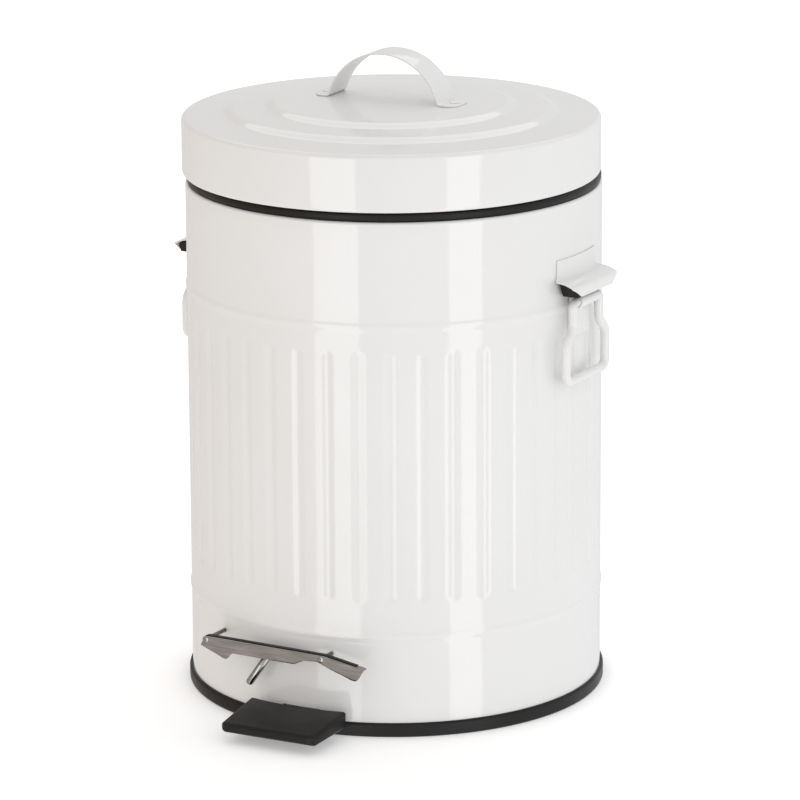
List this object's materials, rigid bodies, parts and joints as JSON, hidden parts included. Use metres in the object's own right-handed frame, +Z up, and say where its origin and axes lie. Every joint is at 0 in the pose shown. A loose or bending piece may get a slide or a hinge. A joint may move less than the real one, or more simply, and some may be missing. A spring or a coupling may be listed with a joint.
{
  "type": "pedal bin",
  "caption": "Round white steel pedal bin with a fluted wall, a domed hinged lid raised by a pedal and push rod, a lift-out bucket and drop side handles.",
  "frame": {"origin": "middle of the base, on the floor", "axes": "+Z up, -Y towards the pedal, +X to the right seen from the pedal"},
  "size_m": [0.2269, 0.2451, 0.3185],
  "materials": {
    "white_paint": "gloss white powder coat on sheet steel",
    "black_plastic": "matt black moulded plastic",
    "bright_steel": "zinc-plated steel",
    "nickel_plate": "bright nickel plate",
    "grey_plastic": "dark grey moulded plastic"
  },
  "bodies": {
    "bin": {"body_shell": "white_paint", "base_moulding": "black_plastic", "rim_ring": "black_plastic", "rod_guide_rivets": "bright_steel", "hinge_pin": "bright_steel", "rod_guide": "black_plastic", "pedal_pivot_pin": "bright_steel", "inner_bucket": "grey_plastic", "bucket_bail": "bright_steel", "right_handle_bracket": "white_paint", "right_handle_liner": "black_plastic", "left_handle_bracket": "white_paint", "left_handle_liner": "black_plastic", "kick_guard": "nickel_plate", "kick_guard_backing": "black_plastic", "kick_guard_pins": "nickel_plate", "kick_guard_peg": "nickel_plate"},
    "lid": {"lid_shell": "white_paint", "lid_handle": "white_paint", "lid_handle_rivets": "white_paint", "lid_hinge_arm": "bright_steel", "lid_arm_rivets": "bright_steel"},
    "pedal": {"pedal_lever": "bright_steel", "pedal_pad": "black_plastic"},
    "rod": {"push_rod": "bright_steel"},
    "right_bail": {"right_handle_bail": "white_paint"},
    "left_bail": {"left_handle_bail": "white_paint"}
  },
  "joints": [
    {"name": "lid_open", "type": "hinge", "parent": "bin", "child": "lid", "pos_m": [0, 0.1049, 0.257], "axis": [-1, 0, 0], "range_deg": [0, 72]},
    {"name": "pedal_press", "type": "hinge", "parent": "bin", "child": "pedal", "pos_m": [0, -0.082, 0.0095], "axis": [1, 0, 0], "range_deg": [0, 4.6]},
    {"name": "rod_lift", "type": "slide", "parent": "bin", "child": "rod", "axis": [0, 0, 1], "range_m": [0, 0.0141]},
    {"name": "right_bail_swing", "type": "hinge", "parent": "bin", "child": "right_bail", "pos_m": [0.1066, -0.00559, 0.206], "axis": [-0.0523, -0.9986, 0], "range_deg": [0, 75]},
    {"name": "left_bail_swing", "type": "hinge", "parent": "bin", "child": "left_bail", "pos_m": [-0.10675, 0, 0.206], "axis": [0, 1, 0], "range_deg": [0, 75]}
  ],
  "couplings": [
    {"joint": "pedal_press", "follows": "lid_open", "ratio": 0.063211},
    {"joint": "rod_lift", "follows": "lid_open", "m_per_rad": 0.011132}
  ]
}
